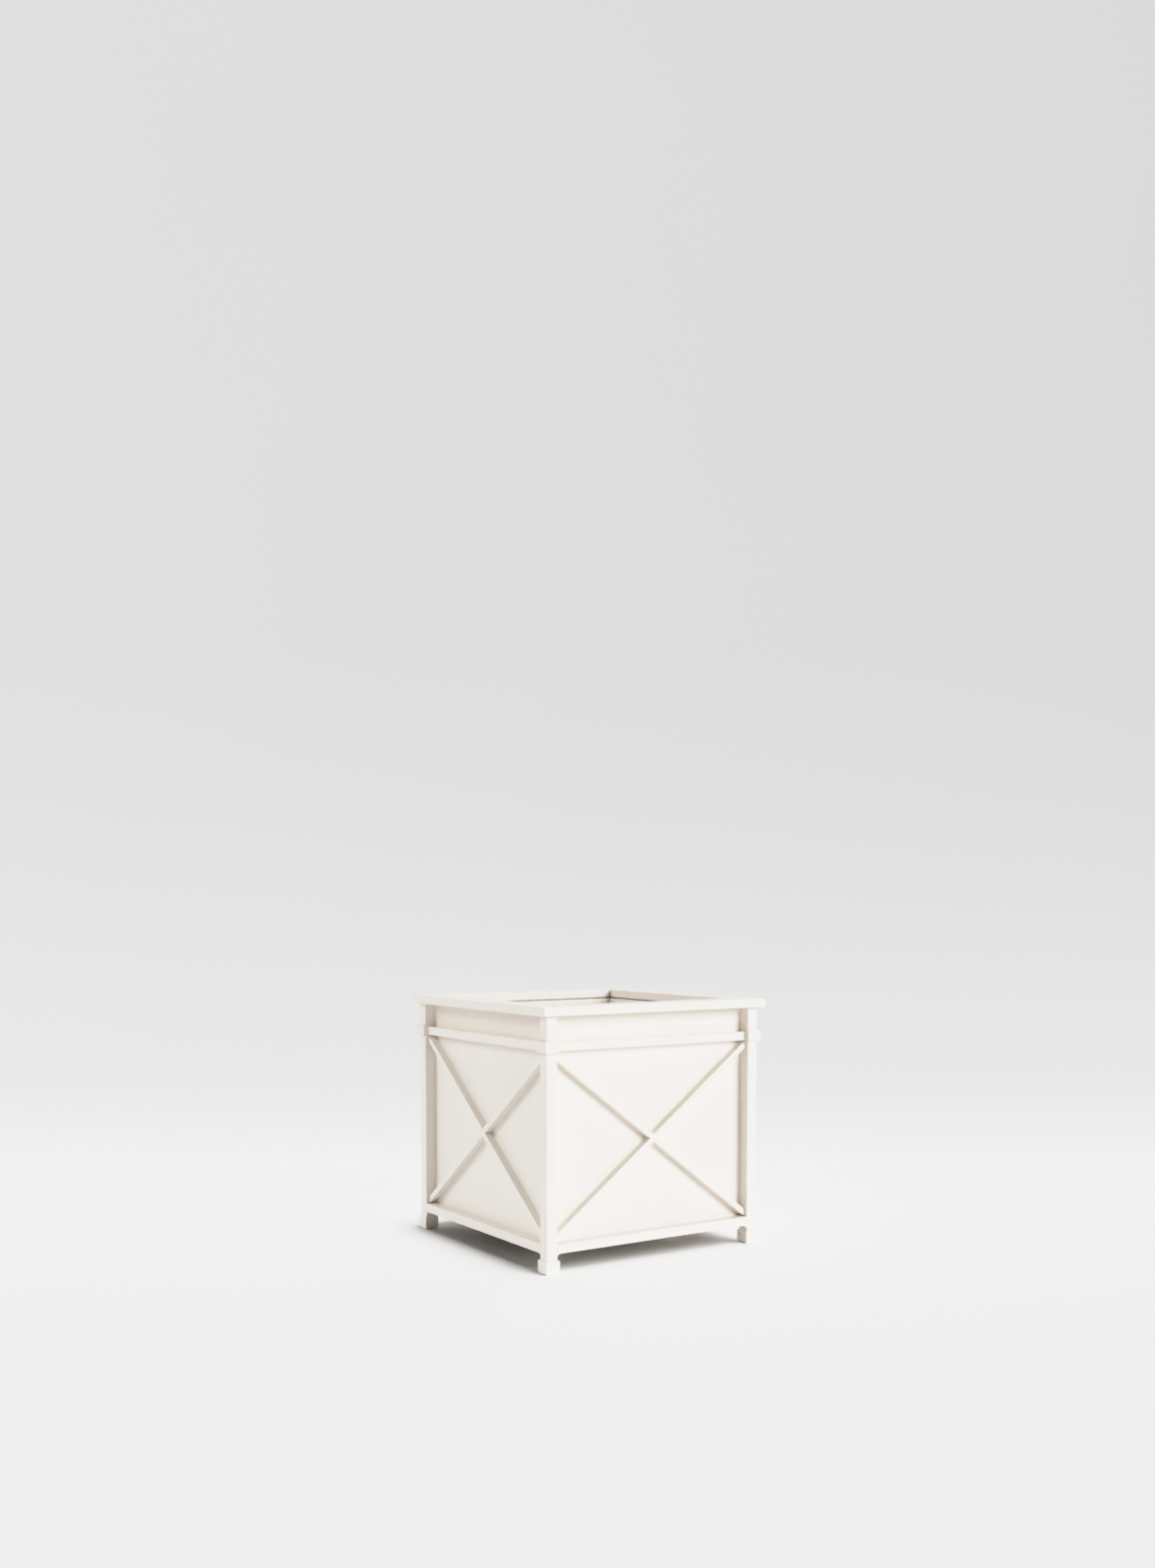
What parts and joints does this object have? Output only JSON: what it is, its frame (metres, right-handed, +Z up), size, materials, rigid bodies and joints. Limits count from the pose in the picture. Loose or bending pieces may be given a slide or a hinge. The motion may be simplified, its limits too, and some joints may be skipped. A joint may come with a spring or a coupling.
{
  "type": "planter box",
  "caption": "Square metal planter box with an overhanging rim, collared corner posts, cross-braced recessed sides, block feet and a lift-out liner.",
  "frame": {"origin": "centre of the planter's footprint, at floor level", "axes": "+Z up; -Y is the front, the wide face on the right of the picture; -X is the face on its left"},
  "size_m": [0.629, 0.629, 0.593],
  "materials": {
    "cream_powder_coat": "satin cream powder coat on steel",
    "liner_paint": "satin cream coat on thin steel sheet",
    "primed_steel": "matt grey primer on steel, hidden inside",
    "glide_plastic": "matt white moulded nylon",
    "strip_rubber": "black rubber strip",
    "screw_steel": "zinc plated"
  },
  "bodies": {
    "frame": {"base_bearer_back": "cream_powder_coat", "base_bearer_front": "cream_powder_coat", "base_pan": "cream_powder_coat", "base_screws": "screw_steel", "brace_falling_back": "cream_powder_coat", "brace_falling_front": "cream_powder_coat", "brace_falling_left": "cream_powder_coat", "brace_falling_right": "cream_powder_coat", "brace_rising_back": "cream_powder_coat", "brace_rising_front": "cream_powder_coat", "brace_rising_left": "cream_powder_coat", "brace_rising_right": "cream_powder_coat", "corner_post_back_left": "cream_powder_coat", "corner_post_back_right": "cream_powder_coat", "corner_post_front_left": "cream_powder_coat", "corner_post_front_right": "cream_powder_coat", "foot_glide_back_left": "glide_plastic", "foot_glide_back_right": "glide_plastic", "foot_glide_front_left": "glide_plastic", "foot_glide_front_right": "glide_plastic", "foot_shoe_back_left": "cream_powder_coat", "foot_shoe_back_right": "cream_powder_coat", "foot_shoe_front_left": "cream_powder_coat", "foot_shoe_front_right": "cream_powder_coat", "inner_corner_angle_back_left": "primed_steel", "inner_corner_angle_back_right": "primed_steel", "inner_corner_angle_front_left": "primed_steel", "inner_corner_angle_front_right": "primed_steel", "liner_rest_strip_back": "strip_rubber", "liner_rest_strip_front": "strip_rubber", "lower_rail_back": "cream_powder_coat", "lower_rail_front": "cream_powder_coat", "lower_rail_left": "cream_powder_coat", "lower_rail_right": "cream_powder_coat", "mid_rail_back": "cream_powder_coat", "mid_rail_front": "cream_powder_coat", "mid_rail_left": "cream_powder_coat", "mid_rail_right": "cream_powder_coat", "post_collar_back_left": "cream_powder_coat", "post_collar_back_right": "cream_powder_coat", "post_collar_front_left": "cream_powder_coat", "post_collar_front_right": "cream_powder_coat", "rail_end_gussets": "cream_powder_coat", "rim_back": "cream_powder_coat", "rim_corner_key_back_left": "primed_steel", "rim_corner_key_back_right": "primed_steel", "rim_corner_key_front_left": "primed_steel", "rim_corner_key_front_right": "primed_steel", "rim_front": "cream_powder_coat", "rim_left": "cream_powder_coat", "rim_right": "cream_powder_coat", "rim_screws": "screw_steel", "side_panel_back": "cream_powder_coat", "side_panel_front": "cream_powder_coat", "side_panel_left": "cream_powder_coat", "side_panel_right": "cream_powder_coat"},
    "liner": {"planting_liner": "liner_paint"}
  },
  "joints": [
    {"name": "liner_lift", "type": "slide", "parent": "frame", "child": "liner", "axis": [0, 0, 1], "range_m": [0, 0.54]}
  ]
}
